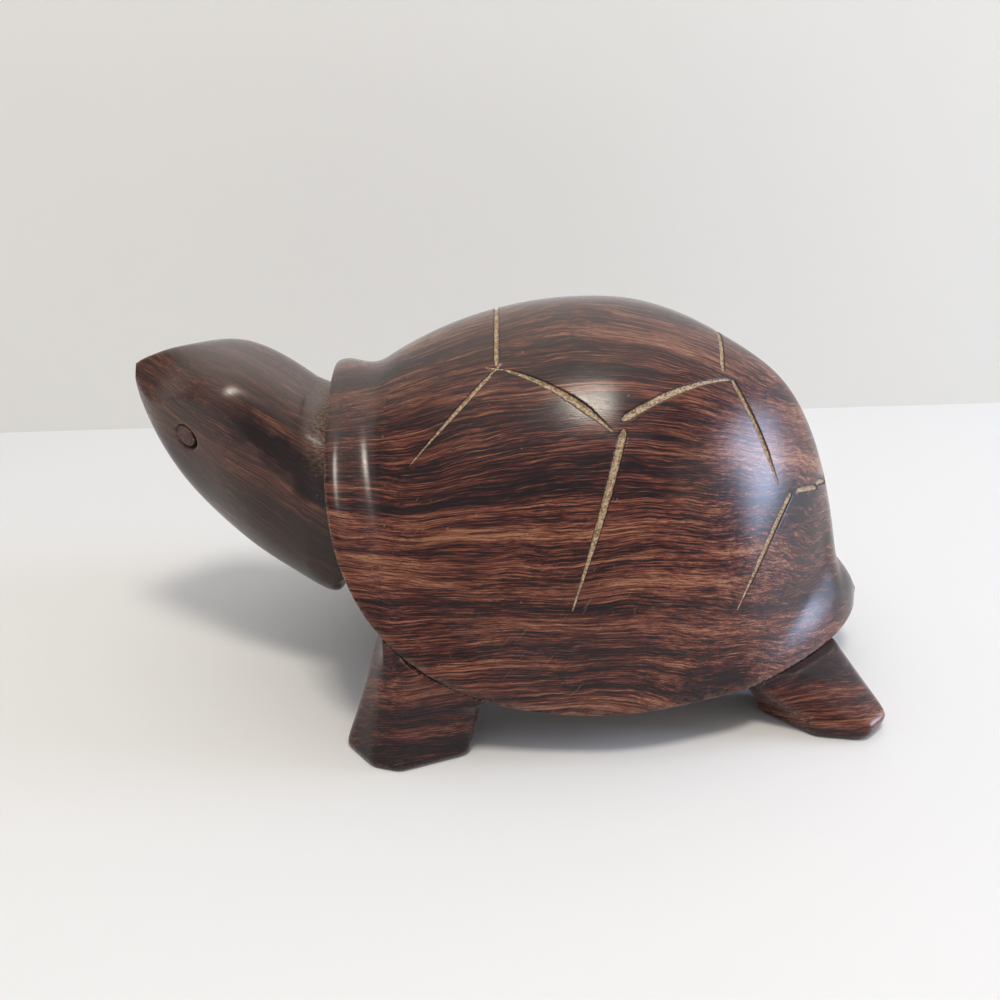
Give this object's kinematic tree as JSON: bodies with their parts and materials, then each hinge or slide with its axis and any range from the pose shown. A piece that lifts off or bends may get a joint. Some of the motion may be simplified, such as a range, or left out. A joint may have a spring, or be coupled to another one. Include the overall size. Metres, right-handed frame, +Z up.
{
  "type": "carved turtle figurine",
  "caption": "Polished dark wooden turtle with a raised pointed head, a domed shell with a flared collar and gouged scute lines, standing on splayed feet; a desk or shelf ornament.",
  "frame": {"origin": "on the table, under the middle of the box round the whole turtle", "axes": "+X from the beak to the tail, -Y to the turtle's left, +Z up from the table"},
  "size_m": [0.1431, 0.0922, 0.0745],
  "materials": {
    "shell_wood": "polished to a soft gloss",
    "belly_wood": "smoothed, satin",
    "head_wood": "polished to a soft gloss",
    "leg_wood": "satin",
    "eye_wood": "satin"
  },
  "bodies": {
    "root": {"shell": "shell_wood", "belly": "belly_wood", "head_and_neck": "head_wood", "front_left_leg": "leg_wood", "front_right_leg": "leg_wood", "rear_left_leg": "leg_wood", "rear_right_leg": "leg_wood", "left_eye": "eye_wood", "right_eye": "eye_wood"}
  },
  "joints": []
}
